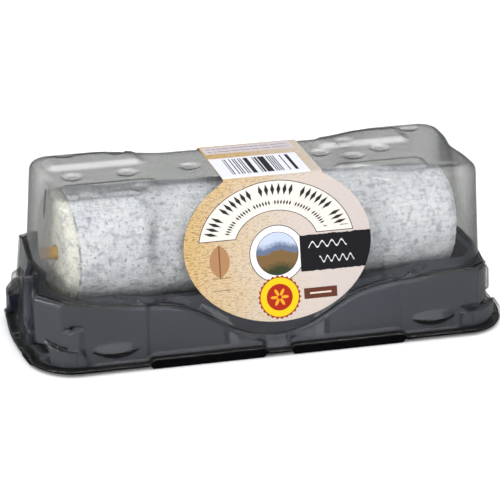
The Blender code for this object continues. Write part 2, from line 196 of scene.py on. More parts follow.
# Forms pressed into the top, and the dents in the tray's shelf
DIMPLES = [(-77, 0), (-54, 0), (-53.5, 23.5), (-75, 25), (-76, -27), (-53, -21.5), (-27, 1),
           (30.5, 3.5), (43.5, 10.5), (43, -4), (57, 2.5), (78, -26), (77, 25)]
DIMPLE_RADIUS, DIMPLE_DEPTH = 4.3, 0.65
DIMPLE_RIMS = (0.78 * DIMPLE_RADIUS, DIMPLE_RADIUS)
RIM_CATCH = 0.55              # a point this close to a rim is moved onto it
PADS = [(-65, 17.5, 19.5, 7.5, 1.6), (-65, -18.5, 19.5, 7.5, 0.8), (52, 16.5, 19, 8.0, 1.6),
        (50.5, -20.5, 18.5, 6.5, 0.8)]     # (x, y, half length, half width, height)
PAD_CORNER = 3.0
PAD_RAMP = 2.4                # times its height
DENTS = ((60.7, 33.0), (64.4, 30.7))
DENT_DEPTH, DENT_EDGE, DENT_SQUEEZE = 2.4, (2.0, 3.0), 1.2


def linear(hex_colour):
    """sRGB hex to linear RGBA."""
    channels = [int(hex_colour[k:k + 2], 16) / 255 for k in (1, 3, 5)]
    return tuple(c / 12.92 if c <= 0.04045 else ((c + 0.055) / 1.055) ** 2.4 for c in channels) + (1.0,)


def lerp(a, b, t):
    return a + (b - a) * t


def ramp(start, stop, value):
    """0 up to start, 1 from stop on, and straight between."""
    return min(max((value - start) / (stop - start), 0.0), 1.0)


def smooth(start, stop, value):
    """The same, with its corners eased."""
    t = ramp(start, stop, value)
    return t * t * (3.0 - 2.0 * t)


def between(value, low, high, soft):
    """1 between low and high, with ramps of width soft centred on each."""
    half = soft / 2
    return smooth(low - half, low + half, value) * (1.0 - smooth(high - half, high + half, value))


# Form of the moulded shells. A column is (sign_x, sign_y, kind, value).

def quarter_columns():
    """One quarter's columns: the value is x on a long side, the angle in a corner and a share of an end."""
    plain = [k * COLUMN_PITCH for k in range(40)]
    stretched = [FIXED_LONG + (CORNER_START - FIXED_LONG) * k / 26 for k in range(27)]
    shares = [0.04 * k for k in range(25)]
    columns = [("long", x) for x in sorted(plain + PILASTER_COLUMNS) + sorted(stretched + BLOCK_COLUMNS)]
    columns += [("corner", math.radians(4.5 * k)) for k in range(1, 21)]
    return columns + [("end", share) for share in sorted(shares + END_COLUMNS, reverse=True)]


def loop_columns():
    """Every column round the pack, counter-clockwise from the middle of the front."""
    quarter = quarter_columns()
    forward, backward = quarter[:-1], quarter[:0:-1]
    loop = []
    for sign_x, sign_y, part in ((1, -1, forward), (1, 1, backward), (-1, 1, forward), (-1, -1, backward)):
        loop += [(sign_x, sign_y) + column for column in part]
    return loop + loop[:1]


def bowed(x, y, a, b, bow):
    """The ends bulge: their corners stand back by bow."""
    return x - bow * (y / b) ** 2 * ramp(FIXED_LONG, a, x) ** 2, y


def plan_point(column, a, b, radius, bow):
    """Point of a rounded rectangle of half sizes a and b, in the first quarter."""
    kind, value = column[2], column[3]
    if kind == "long":
        x, y = value, b
        if value > FIXED_LONG:
            share = (value - FIXED_LONG) / (CORNER_START - FIXED_LONG)
            x = lerp(FIXED_LONG, a - radius, share)
    elif kind == "corner":
        x = a - radius + radius * math.sin(value)
        y = b - radius + radius * math.cos(value)
    else:
        x, y = a, (b - radius) * value
    return bowed(x, y, a, b, bow)


def facet_share(column):
    """How far along the corner, 0 at the long side and 1 at the end."""
    return column[3] / math.radians(90)


def skirt_plan(column, rise, z, out):
    """The skirt's plan at height z, moved out: its corners are flat facets, and its ends are not alike."""
    at_foot = (HALF_LENGTH - FLANGE_WIDTH - SKIRT_END_DRAFT * rise - PILASTER,
               lerp(END_BOW, SKIRT_TOP_BOW, rise),
               SKIRT_FACET * lerp(FLANGE_CORNER - FLANGE_WIDTH, SKIRT_TOP_CORNER, rise))
    over_foot = RIGHT_PLAN
    share = smooth(*RIGHT_HEIGHTS, z)
    if column[0] < 0:
        over_foot = FRONT_LEFT_PLAN
        share = smooth(*FRONT_LEFT_HEIGHTS, z)
        if column[2] == "end":
            share *= 1.0 - smooth(-END_CHANGE, END_CHANGE, column[1] * HALF_END * column[3])
        elif column[1] > 0:
            share = 0.0
    a, bow, facet = (lerp(p, q, share) for p, q in zip(at_foot, over_foot))
    a, b = a + out, HALF_DEPTH - FLANGE_WIDTH - SKIRT_TOP_DRAFT * rise - PILASTER + out
    facet += FACET_GROWTH * out
    if column[2] != "corner":
        return plan_point(column, a, b, facet, bow)
    share = facet_share(column)
    return bowed(a - facet * (1.0 - share), b - facet * share, a, b, bow)


def ridge_height(x, y):
    """Height of the skirt's ridge: low in the middle of a long side, and higher to the corners."""
    swell = 1.0 - math.exp(-(abs(x) / RIDGE_SWEEP_HALF) ** 3)
    tilt = math.copysign(RIDGE_END_TILT * smooth(*RIDGE_TILT_SPAN, abs(x)), -x)
    corner = REAR_LEFT_RISE * smooth(*REAR_LEFT_SPANS[0], -x) * smooth(*REAR_LEFT_SPANS[1], y)
    return RIDGE_LOW + RIDGE_SWEEP * swell + RIDGE_SLOPE * abs(x) + tilt + corner


def flange_plan(column, width):
    """The flange's outline, moved in by width."""
    return plan_point(column, HALF_LENGTH - width, HALF_DEPTH - width, FLANGE_CORNER - width, END_BOW)


def foot_share(column):
    """1 over a foot, 0 between feet."""
    x, y = flange_plan(column, 0.0)
    if column[2] == "long":
        return between(x, *LONG_FEET, FOOT_RAMP)
    if column[1] > 0:
        return 1.0 - smooth(END_FEET[1] - FOOT_RAMP / 2, END_FEET[1] + FOOT_RAMP / 2, y)
    return between(y, *END_FEET, FOOT_RAMP) + 1.0 - smooth(*MIDDLE_FOOT, y)


def flange_z(column):
    """The flange arches up over each foot."""
    return FLANGE_TOP + FOOT_LIFT * foot_share(column)


def snap_pill(x, z):
    """Snap pill: a lens with a sloping top and a sharp undercut."""
    width = 1.0 - ((x - PILL_X) / PILL_HALF) ** 2
    if width <= 0.0:
        return 0.0
    lip = PILL_LIP + PILL_SMILE * (1.0 - width)
    low = lip - (PILL_LIP - PILL_LOW) * width ** 0.6
    high = lip + (PILL_HIGH - PILL_LIP) * width ** 0.5
    reach = (z - low) / (lip - low) if z < lip else (high - z) / (high - lip)
    return max(reach, 0.0) * width ** 0.5


def end_rib(y, z):
    """Upright rounded rib on the end of the lid."""
    reach = math.hypot(y - RIB_Y, max(abs(z - RIB_Z) - RIB_STRAIGHT, 0.0)) / RIB_RADIUS
    return max(1.0 - reach ** 4, 0.0)


def corner_block(column, x, y):
    """How much of a corner block there is here, 0 to 1, and the height of its top."""
    kind, front, left = column[2], column[1] < 0, column[0] < 0
    top = FRONT_TOP if front else REAR_TOP
    if front and left:
        top = LEFT_TOP + LEFT_CLIMB * smooth(*CLIMB_SPAN, x)
    if kind == "long":
        return smooth(CORNER_X - 0.3, CORNER_X + 0.3, x), top
    if front:
        stop = LEFT_STOP if left else RIGHT_STOP
        return (0.0 if kind == "end" else 1.0 - smooth(*stop, facet_share(column))), top
    return (smooth(CORNER_Y - 0.4, CORNER_Y + 0.4, y) if kind == "end" else 1.0), top


def undercut(column, y):
    """1 where the front left corner is hollow under its lip."""
    if (column[0], column[1]) != (-1, -1) or column[2] == "long":
        return 0.0
    return smooth(*UNDERCUT_Y, y) if column[2] == "end" else smooth(*LEFT_STOP, facet_share(column))


def pilaster(kind, x, y):
    """1 on the pilasters, in the middle of each side and round each corner, and 0 between them."""
    if kind == "long":
        return max(1.0 - smooth(*MIDDLE_PILASTER, x), smooth(*CORNER_PILASTER, x))
    return 1.0 - smooth(*END_PILASTER, y) if kind == "end" else 1.0


def skirt_relief(column, x, y, z, drop, ribs):
    """How far the skirt stands out: pilasters, pills, ribs and slits, and the front left corner's forms."""
    kind, front, left = column[2], column[1] < 0, column[0] < 0
    out = PILASTER * pilaster(kind, x, y)
    if kind == "long":
        out += (LID_PILL if ribs else TRAY_PILL) * snap_pill(x, z - drop)
    elif ribs and left != front:
        out += RIB_PROUD * end_rib(y, z)
    depth = lerp(*UNDERCUT_DEPTHS, ramp(*UNDERCUT_HEIGHTS, z))
    out -= undercut(column, y) * (1.0 - smooth(*UNDERCUT_LIP, z)) * depth
    if front and left and kind == "end":
        out -= RECESS * smooth(*RECESS_START, y) * (1.0 - smooth(*RECESS_END, y)) * smooth(*RECESS_HEIGHTS, z)
    slit, top = corner_block(column, x, y)
    if front and left and kind == "long":
        step = slit * (1.0 - smooth(STEP_END_X - 1.5, STEP_END_X + 0.5, x))
        slit -= step
        proud = lerp(*STEP_PROUD, ramp(*STEP_HEIGHTS, z))
        out = max(out, lerp(out, proud, step * (1.0 - smooth(*STEP_TOP, z))))
        out -= STEP_SLIT_DEPTH * step * between(z, *STEP_SLIT, 0.6)
    return out - SLIT_DEPTH * slit * between(z, top + SLIT[0], top + SLIT[1], 0.7)


def skirt_point(column, rise, inset, drop, ribs=False):
    """Skirt wall: rise 0 is its foot, rise 1 is just under the ridge."""
    x, y = skirt_plan(column, rise, 0.0, 0.0)
    foot = flange_z(column) + FLANGE_FILLET_RISE
    z = lerp(foot, ridge_height(column[0] * x, column[1] * y) - RIDGE_ROUND, rise)
    relief = skirt_relief(column, x, y, z, drop, ribs)
    block, top = corner_block(column, x, y)
    x, y = skirt_plan(column, rise, z, relief - inset)
    block *= 1.0 - smooth(top - 0.4, top + 0.3, z)
    if block:
        bx, by = flange_plan(column, CORNER_SET_BACK[column[:2]] + inset)
        turned = smooth(*TURN_SPAN, x) if column[2] == "long" else 1.0
        x, y = lerp(x, bx, block * turned), lerp(y, by, block)
    return x, y, z - drop


def panel_half(z):
    """Half depth of the lid's leaning panel."""
    slope = (PANEL_FOOT_Y - PANEL_TOP_Y) / (LID_HEIGHT - PANEL_FOOT_Z)
    return PANEL_FOOT_Y - slope * (z - PANEL_FOOT_Z)


def block_half(z):
    """Half depth of the lid's end blocks."""
    slope = (BLOCK_FOOT_Y - BLOCK_TOP_Y) / (LID_HEIGHT - FOOT_Z)
    return BLOCK_FOOT_Y - slope * (z - FOOT_Z)


def wall_half(x, z, rear):
    """Half depth of the upper wall: leaning panel in the middle, blocks towards the ends."""
    high = max(z - PANEL_WIDEST_Z, 0.0) / (LID_HEIGHT - PANEL_WIDEST_Z)
    start = PANEL_HALF - (REAR_NARROWING if rear else PANEL_NARROWING) * high ** 2
    full = BLOCK_START + (REAR_SPREAD if rear else BLOCK_SPREAD) * high ** 2
    return lerp(panel_half(z), block_half(z), smooth(start, full, abs(x)))


def wall_point(column, z, inset, drop):
    """Upper wall of the lid at height z."""
    up = (z - FOOT_Z) / (LID_HEIGHT - FOOT_Z)
    length = lerp(END_FOOT_X, END_TOP_X, up) - inset
    radius = max(lerp(FOOT_CORNER, TOP_CORNER, ramp(0.0, 1.0, up)) - inset, SMALLEST_CORNER)
    if column[2] == "long":
        x = plan_point(column, length, 1.0, radius, 0.0)[0]
        depth = wall_half(x, z, column[1] > 0) - inset
    else:
        depth = block_half(z) - inset
    x, y = plan_point(column, length, depth, radius, FOOT_BOW * (1.0 - up))
    if column[2] == "end":
        x -= END_RECESS * max(up, 0.0) * math.exp(-(y / END_RECESS_HALF) ** 2)
    return x, y, z - drop


def ridge_foot_z(column):
    """Height at which the ledge behind the ridge meets the lid's upper wall."""
    x, y = plan_point(column, END_FOOT_X, BLOCK_FOOT_Y, FOOT_CORNER, 0.0)
    return ridge_height(column[0] * x, column[1] * y) + LEDGE_RISE


def ledge_point(column, rounded, beyond, lift, inset, drop):
    """From the skirt's top over the share rounded of the ridge's rounding, then beyond it on the ledge.

    Beyond is a distance in mm and the greatest share of the ledge that it may take.
    """
    x, y, z = skirt_point(column, 1.0, inset, drop)
    foot_x, foot_y, _ = wall_point(column, ridge_foot_z(column), inset, drop)
    width = math.dist((x, y), (foot_x, foot_y))
    tuck = min(RIDGE_TUCK / width, WIDEST_TUCK)
    share = tuck * rounded + min(beyond[0] / width, (1.0 - tuck) * beyond[1])
    return lerp(x, foot_x, share), lerp(y, foot_y, share), z + lift


def base_rows(inset, drop, edge_inset, ribs):
    """Row functions that the lid and the tray share: flange, skirt, ridge and ledge."""
    rows = []
    for along, lift in FLANGE_PROFILE:
        width = edge_inset + (along if along < FILLET_START else along + inset - edge_inset)

        def flange(c, width=width, lift=lift):
            return *flange_plan(c, width), flange_z(c) - drop + lift
        rows.append(flange)
    for k in range(SKIRT_ROWS + 1):
        t = k / SKIRT_ROWS      # rows stand closer at the skirt's foot
        rows.append(lambda c, rise=0.45 * t + 0.55 * t * t: skirt_point(c, rise, inset, drop, ribs))
    for angle in range(15, 91, 15):
        turn = math.radians(angle)
        rows.append(lambda c, round_share=1.0 - math.cos(turn), rise=math.sin(turn):
                    ledge_point(c, round_share, (0.0, 0.0), RIDGE_ROUND * rise, inset, drop))
    for beyond, depth in GROOVE_ROWS:
        rows.append(lambda c, beyond=beyond, lift=RIDGE_ROUND - depth:
                    ledge_point(c, 1.0, beyond, lift, inset, drop))
    return rows


def rounded_pad(dx, dy, half_x, half_y, corner, soft):
    """1 inside a rounded rectangle, 0 outside, with a ramp of width soft."""
    qx, qy = abs(dx) - (half_x - corner), abs(dy) - (half_y - corner)
    away = math.hypot(max(qx, 0.0), max(qy, 0.0)) - corner
    return 1.0 - smooth(-soft / 2, soft / 2, away)


def top_relief(x, y):
    """Height of the pads and dimples pressed into the top; returns the place too, snapped to rims."""
    lift = 0.0
    for cx, cy, half_x, half_y, height in PADS:
        lift += height * rounded_pad(x - cx, y - cy, half_x, half_y, PAD_CORNER, PAD_RAMP * height)
    for cx, cy in DIMPLES:
        dx, dy = x - cx, y - cy
        r = math.hypot(dx, dy)
        rim = min(DIMPLE_RIMS, key=lambda value: abs(value - r))
        if abs(rim - r) < RIM_CATCH:
            x, y, r = cx + dx * rim / r, cy + dy * rim / r, rim
        lift -= DIMPLE_DEPTH * (1.0 - smooth(*DIMPLE_RIMS, r))
    return x, y, lift


def lid_rows():
    """From the flange up the wall, round the bend, and in over the top to a spine along the pack."""
    rows = base_rows(0.0, 0.0, 0.0, True)
    top = LID_HEIGHT - BEND
    for k in range(17):
        rows.append(lambda c, share=k / 16: wall_point(c, lerp(ridge_foot_z(c), top, share), 0.0, 0.0))

    def bent(c, angle):
        turn = math.radians(angle)
        x, y, z = wall_point(c, top, BEND * (1.0 - math.cos(turn)), 0.0)
        return x, y, z + BEND * math.sin(turn)
    for k in range(1, 6):
        rows.append(lambda c, angle=18 * k: bent(c, angle))
    spine = bent((1, 1, "long", CORNER_START), 90)[0]
    count = 24
    for k in range(1, count + 1):
        def inner(c, t=k / count):
            x, y, z = bent(c, 90)
            if x > spine:
                x = lerp(x, spine, t)
            x, y, lift = top_relief(c[0] * x, c[1] * y * (1.0 - t))
            return c[0] * x, c[1] * y, z + lift * smooth(0.0, 0.1, t)
        rows.append(inner)
    return rows


def shelf_height(x):
    return lerp(SHELF_Z, SHELF_END_Z, smooth(*SHELF_CLIMB, abs(x)))


def inner_wall(column, share, inset, drop):
    """The tray's inner wall, from the ledge down to its shelf; towards the ends it leans in."""
    x = plan_point(column, END_FOOT_X, 1.0, FOOT_CORNER, 0.0)[0]
    set_back = SHELF_SET_BACK * share if x > FIXED_LONG else 0.0
    z = lerp(ridge_foot_z(column), shelf_height(x) + drop, share)
    return wall_point(column, z, inset + set_back, drop)


def trough_point(column, narrower, shorter, z):
    """The trough's outline at one of its steps; its rim lies on the shelf."""
    length = TROUGH_HALF_LENGTH - shorter
    x = plan_point(column, length, 1.0, TROUGH_CORNER, 0.0)[0]
    width = TROUGH_HALF_WIDTH - TROUGH_TAPER * column[0] * x / TROUGH_HALF_LENGTH
    x, y = plan_point(column, length, width - narrower, TROUGH_CORNER, 0.0)
    return x, y, shelf_height(x) if z == SHELF_Z else z


def foot_rows(shift, edge_inset):
    """Hollow rail under the tray's flange: down its inner side, across its sole, up its outer side."""
    rows = []
    for width, sole in FOOT_RAIL:
        def rail(c, width=width, sole=sole):
            foot = foot_share(c)
            x, y = flange_plan(c, edge_inset + width * foot)
            return x, y, (flange_z(c) - shift - FLANGE_LIP) * (1.0 - sole * smooth(0.1, 1.0, foot))
        rows.append(rail)
    return rows


def tray_rows():
    """From the feet up the skirt, down the inner wall, over the shelf and into the trough."""
    shift = LID_TO_TRAY
    rows = foot_rows(shift, TRAY_EDGE) + base_rows(shift, shift, TRAY_EDGE, False)
    for k in range(11):
        rows.append(lambda c, share=k / 11: inner_wall(c, share, shift, shift))
    for k in range(8):
        def shelf(c, share=k / 8):
            a, b = inner_wall(c, 1.0, shift, shift), trough_point(c, *TROUGH_STEPS[0])
            x, y, z = (lerp(p, q, share) for p, q in zip(a, b))
            for cx, cy in DENTS:
                z -= DENT_DEPTH * (1.0 - smooth(*DENT_EDGE, math.hypot(x - cx, (y - cy) * DENT_SQUEEZE)))
            return x, y, z
        rows.append(shelf)
    for first, last in zip(TROUGH_STEPS, TROUGH_STEPS[1:]):
        for k in range(5):
            def side(c, share=k / 5, first=first, last=last):
                a, b = trough_point(c, *first), trough_point(c, *last)
                return tuple(lerp(p, q, share) for p, q in zip(a, b))
            rows.append(side)
    spine = trough_point((1, 1, "long", CORNER_START), *TROUGH_STEPS[-1])[0]
    for k in range(9):
        def floor(c, t=k / 8):
            x, y, z = trough_point(c, *TROUGH_STEPS[-1])
            return lerp(x, spine, t) if x > spine else x, y * (1.0 - t), z
        rows.append(floor)
    return rows


def deselect():
    bpy.ops.object.select_all(action="DESELECT")


def own_mesh(name):
    """Names the piece that was just added."""
    obj = bpy.context.object
    obj.name = obj.data.name = name
    return obj


def wrapped_grid(name, columns, rows, painted_shade_spans=()):
    """A grid primitive wrapped round the pack: one column each way round, one row each ring.

    The spans of rows given take the second material, which paints shade, and with them every underside.
    """
    deselect()
    across, up = len(columns) - 1, len(rows) - 1
    bpy.ops.mesh.primitive_grid_add(x_subdivisions=across, y_subdivisions=up, size=1.0)
    obj = own_mesh(name)
    for face in obj.data.polygons:
        row = (face.center.y + 0.5) * up
        face.material_index = int(any(first < row < last for first, last in painted_shade_spans))
    for vertex in obj.data.vertices:
        column = columns[round((vertex.co.x + 0.5) * across)]
        row = rows[round((vertex.co.y + 0.5) * up)]
        x, y, z = row(column)
        vertex.co = Vector((column[0] * x, column[1] * y, z)) * MM
    bpy.ops.object.mode_set(mode="EDIT")
    bpy.ops.mesh.select_all(action="SELECT")
    bpy.ops.mesh.remove_doubles(threshold=0.00002)
    bpy.ops.object.mode_set(mode="OBJECT")
    # every underside is painted in shade with the second material
    for face in obj.data.polygons:
        if painted_shade_spans and face.normal.z < UNDERSIDE:
            face.material_index = 1
    return obj


def add_modifier(obj, kind, **settings):
    """Adds a modifier and applies it."""
    bpy.context.view_layer.objects.active = obj
    bpy.ops.object.modifier_add(type=kind)
    modifier = obj.modifiers[-1]
    for key, value in settings.items():
        setattr(modifier, key, value)
    bpy.ops.object.modifier_apply(modifier=modifier.name)


def select_faces(obj, wanted):
    """Selects the faces that wanted picks, in edit mode, and nothing else."""
    bpy.ops.mesh.select_all(action="DESELECT")
    mesh = bmesh.from_edit_mesh(obj.data)
    for face in mesh.faces:
        face.select = wanted(face)
    bmesh.update_edit_mesh(obj.data)


def finish_piece(obj, node, slot, *materials):
    """Gives a piece its materials, smooth shading and its place among the bodies, and hides the CAD part that
    it stands for.
    """
    for material in materials:
        obj.data.materials.append(material)
    deselect()
    obj.select_set(True)
    bpy.context.view_layer.objects.active = obj
    bpy.ops.object.shade_smooth_by_angle(angle=math.radians(50))
    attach(obj, BODY)
    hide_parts(node)


# Materials

MATH, VECTOR, MIX = "ShaderNodeMath", "ShaderNodeVectorMath", "ShaderNodeMix"
NOISE, RANGE, BUMP = "ShaderNodeTexNoise", "ShaderNodeMapRange", "ShaderNodeBump"
PRINCIPLED, SPLIT = "ShaderNodeBsdfPrincipled", "ShaderNodeSeparateXYZ"


def node(tree, kind, links=(), **settings):
    """Adds a node with its settings, and links or sets its inputs, given by name or in their order."""
    made = tree.nodes.new(kind)
    for key, value in settings.items():
        setattr(made, key, value)
    for socket, value in links.items() if isinstance(links, dict) else enumerate(links):
        if isinstance(value, bpy.types.Node):
            value = next(output for output in value.outputs if output.enabled)
        if isinstance(value, bpy.types.NodeSocket):
            tree.links.new(value, made.inputs[socket])
        else:
            made.inputs[socket].default_value = value
    return made


def new_material(name, build, *colours):
    """A material with the surface that build gives, in the colours that a user may change."""
    material = bpy.data.materials.new(name)
    material.use_nodes = True
    tree = material.node_tree
    tree.nodes.clear()
    node(tree, "ShaderNodeOutputMaterial", {"Surface": build(tree, *colours)})
    return material


def millimetres(tree):
    """Object coordinates in millimetres."""
    place = node(tree, "ShaderNodeTexCoord").outputs["Object"]
    return node(tree, VECTOR, (place, (1000, 1000, 1000)), operation="MULTIPLY")


def layered(tree, colour, *layers):
    """A colour with others laid over it, each given as its mask and its colour: hex, linear or a node."""
    for mask, paint in ((None, colour), *layers):
        paint = linear(paint) if isinstance(paint, str) else paint
        # 6 and 7 are the node's two colours
        colour = paint if mask is None else node(tree, MIX, {0: mask, 6: colour, 7: paint}, data_type="RGBA")
    return colour


def both(tree, *masks):
    """1 where every mask is 1."""
    held = masks[0]
    for mask in masks[1:]:
        held = node(tree, MATH, (held, mask), operation="MULTIPLY")
    return held


def clear_film(tree, colour):
    """Thermoformed clear PET: next to colourless face on, smoky and a mirror at a grazing angle."""
    place = millimetres(tree)
    # faint draw marks about 11 mm apart
    ripple = node(tree, NOISE, {"Vector": place, "Scale": 0.09, "Detail": 2.0})
    bump = node(tree, BUMP, {"Strength": 0.25, "Distance": 0.0006, "Height": ripple})
    facing = node(tree, "ShaderNodeLayerWeight", {"Blend": 0.5, "Normal": bump}).outputs["Facing"]
    steep = node(tree, MATH, (facing, 5.0), operation="POWER")
    mirror = node(tree, MATH, (steep, 0.25, 0.013), operation="MULTIPLY_ADD")
    longer_path = node(tree, MATH, (facing, 2.0), operation="POWER")
    tint = layered(tree, colour, (longer_path, "#8f908e"))
    film = node(tree, "ShaderNodeBsdfTransparent", {"Color": tint})
    dull = node(tree, "ShaderNodeBsdfDiffuse", {"Color": linear("#9d9f9f")})
    haze = node(tree, MATH, (longer_path, 0.05, 0.006), operation="MULTIPLY_ADD")
    hazy = node(tree, "ShaderNodeMixShader", (haze, film, dull))
    gloss = node(tree, "ShaderNodeBsdfGlossy", {"Roughness": 0.05, "Normal": bump})
    return node(tree, "ShaderNodeMixShader", (mirror, hazy, gloss))


def slate_plastic(tree, colour):
    """Thermoformed polystyrene, slate right through: satin, with faint draw marks."""
    place = millimetres(tree)
    cloud = node(tree, NOISE, {"Vector": place, "Scale": 0.03, "Detail": 2.0})    # 30 mm across
    draw = node(tree, NOISE, {"Vector": place, "Scale": 0.25, "Detail": 2.0})    # marks 4 mm across
    colour = layered(tree, colour, (node(tree, RANGE, (cloud, 0.35, 0.65)), "#202334"))
    shine = node(tree, MATH, (draw, 0.12, 0.36), operation="MULTIPLY_ADD")
    bump = node(tree, BUMP, {"Strength": 0.04, "Distance": 0.0002, "Height": draw})
    return node(tree, PRINCIPLED, {"Base Color": colour, "Roughness": shine, "Normal": bump, "IOR": 1.5})


def shade_painted_plastic(tree):
    """Painted shade for the feet, the flange, the ridge's groove and every underside: the same polystyrene,
    made matt and near black, with a random scuffed tone.
    """
    place = millimetres(tree)
    scuff = node(tree, NOISE, {"Vector": place, "Scale": 1.4, "Detail": 3.0})    # 0.7 mm across
    # near black stands in for the shade under the flange, in the groove behind the ridge and on undersides
    colour = layered(tree, "#020203", (node(tree, RANGE, (scuff, 0.4, 0.7)), "#060608"))
    return node(tree, PRINCIPLED, {"Base Color": colour, "Roughness": 0.7, "Specular IOR Level": 0.02})


def bloomy_rind(tree):
    """Bloomy rind over vegetable ash: matt white mould, grey where the ash shows through.

    It shows in patches of 9 mm, spots of 3 mm, specks of 1 mm and marks 1 mm wide and 4 or 5 mm long.
    """
    place = millimetres(tree)
    lengthwise = node(tree, VECTOR, (place, (0.22, 1.0, 1.0)), operation="MULTIPLY")
    crosswise = node(tree, VECTOR, (place, (1.0, 0.3, 0.3)), operation="MULTIPLY")
    patches = node(tree, NOISE, {"Vector": place, "Scale": 0.11, "Detail": 3.0})
    spots = node(tree, NOISE, {"Vector": place, "Scale": 0.3, "Detail": 6.0, "Roughness": 0.66})
    specks = node(tree, NOISE, {"Vector": place, "Scale": 0.8, "Detail": 3.0, "Roughness": 0.6})
    long_marks = node(tree, NOISE, {"Vector": lengthwise, "Scale": 0.9, "Detail": 4.0})
    cross_marks = node(tree, NOISE, {"Vector": crosswise, "Scale": 0.8, "Detail": 4.0})
    along = node(tree, SPLIT, (place,))
    cut = node(tree, VECTOR, (place, (1.0, LOG_SLANT, 0.0)), operation="DOT_PRODUCT").outputs["Value"]
    bare_end = both(tree, node(tree, RANGE, (cut, -80.6, -83.4)), 0.85)
    # painted shade: a dark line 0.9 mm wide, with gaps, round the rind's edge at the cut, where the rind
    # folds over
    painted_rim_shade = both(tree, node(tree, MATH, (cut, -81.9, 0.45), operation="COMPARE"),
                  node(tree, RANGE, (patches, 0.42, 0.52)), 0.55)
    ashy = node(tree, RANGE, (along, 40.0, -60.0, 0.4, 0.7))     # more ash shows towards the left
    colour = layered(
        tree, "#e4e6e9",
        (node(tree, RANGE, (patches, 0.36, 0.68)), "#d6d8e0"),
        (bare_end, "#e2e0d1"),
        (both(tree, node(tree, RANGE, (spots, 0.5, 0.64)), 0.7), "#a0a3ae"),
        (both(tree, node(tree, RANGE, (long_marks, 0.52, 0.7)), 0.4), "#8e919c"),
        (both(tree, node(tree, RANGE, (cross_marks, 0.54, 0.7)), 0.4), "#9b9ea9"),
        (both(tree, node(tree, RANGE, (specks, 0.56, 0.7)), ashy), "#646872"),
        (painted_rim_shade, "#5e616a"))
    pits = node(tree, MATH, (spots, specks), operation="ADD")
    bump = node(tree, BUMP, {"Strength": 0.6, "Distance": 0.0006, "Height": pits}, invert=True)
    return node(tree, PRINCIPLED, {"Base Color": colour, "Roughness": 0.9, "Normal": bump})


def rye_straw(tree, colour):
    """Dried rye stalk: golden and waxy, with lengthwise fibres 0.4 mm apart."""
    place = millimetres(tree)
    along = node(tree, VECTOR, (place, (0.04, 1.0, 1.0)), operation="MULTIPLY")
    fibre = node(tree, NOISE, {"Vector": along, "Scale": 2.6, "Detail": 3.0})
    stain = node(tree, NOISE, {"Vector": place, "Scale": 0.12, "Detail": 2.0})    # 8 mm long
    colour = layered(tree, colour, (node(tree, RANGE, (fibre, 0.3, 0.7)), "#ecc673"),
                     (node(tree, RANGE, (stain, 0.5, 0.75)), "#ad7a32"))
    bump = node(tree, BUMP, {"Strength": 0.4, "Distance": 0.0002, "Height": fibre})
    return node(tree, PRINCIPLED, {"Base Color": colour, "Roughness": 0.45, "Normal": bump})


def gummed_back(tree):
    """The label's gummed back: plain uncoated paper, off-white."""
    place = millimetres(tree)
    pulp = node(tree, NOISE, {"Vector": place, "Scale": 1.5, "Detail": 4.0})    # fibre 0.7 mm, coarse to show
    colour = layered(tree, "#e6e3dc", (node(tree, RANGE, (pulp, 0.3, 0.7)), "#f1efea"))
    return node(tree, PRINCIPLED, {"Base Color": colour, "Roughness": 0.7})


# The label's design is laid out in mm: x as on the pack, and s up the label from the lid's foot.
# Its UV map holds them as start + span * u or v
LABEL_U = (-50.0, 100.0)
LABEL_V = (0.0, 120.0)


def label_fields(tree):
    """x and s on the label, and both as a vector."""
    apart = node(tree, SPLIT, (node(tree, "ShaderNodeUVMap", uv_map="label_mm"),))
    x = node(tree, MATH, (apart.outputs["X"], LABEL_U[1], LABEL_U[0]), operation="MULTIPLY_ADD")
    s = node(tree, MATH, (apart.outputs["Y"], LABEL_V[1], LABEL_V[0]), operation="MULTIPLY_ADD")
    return x, s, node(tree, "ShaderNodeCombineXYZ", (x, s))


def round_field(tree, place, centre, half=(1.0, 1.0)):
    """Distance from a centre, 1 on the ellipse of the given half sizes, and the angle round it."""
    step = node(tree, VECTOR, (place, (*centre, 0.0)), operation="SUBTRACT")
    step = node(tree, VECTOR, (step, (*half, 1.0)), operation="DIVIDE")
    apart = node(tree, SPLIT, (step,))
    reach = node(tree, VECTOR, (step,), operation="LENGTH").outputs["Value"]
    return reach, node(tree, MATH, (apart.outputs["Y"], apart.outputs["X"]), operation="ARCTAN2")


def repeated(tree, field, pitch, shape):
    """A pattern that repeats as field times pitch grows: SINE, COSINE, FRACT or FLOOR of it."""
    return node(tree, MATH, (node(tree, MATH, (field, pitch), operation="MULTIPLY"),), operation=shape)


def disc(tree, place, centre, radius):
    return node(tree, MATH, (round_field(tree, place, centre)[0], radius), operation="LESS_THAN")


def box(tree, x, s, low, high):
    """1 in the box from low to high, each (x, s)."""
    sides = ((x, low[0], high[0]), (s, low[1], high[1]))
    return both(tree, *(node(tree, MATH, (value, (a + b) / 2, (b - a) / 2), operation="COMPARE")
                        for value, a, b in sides))


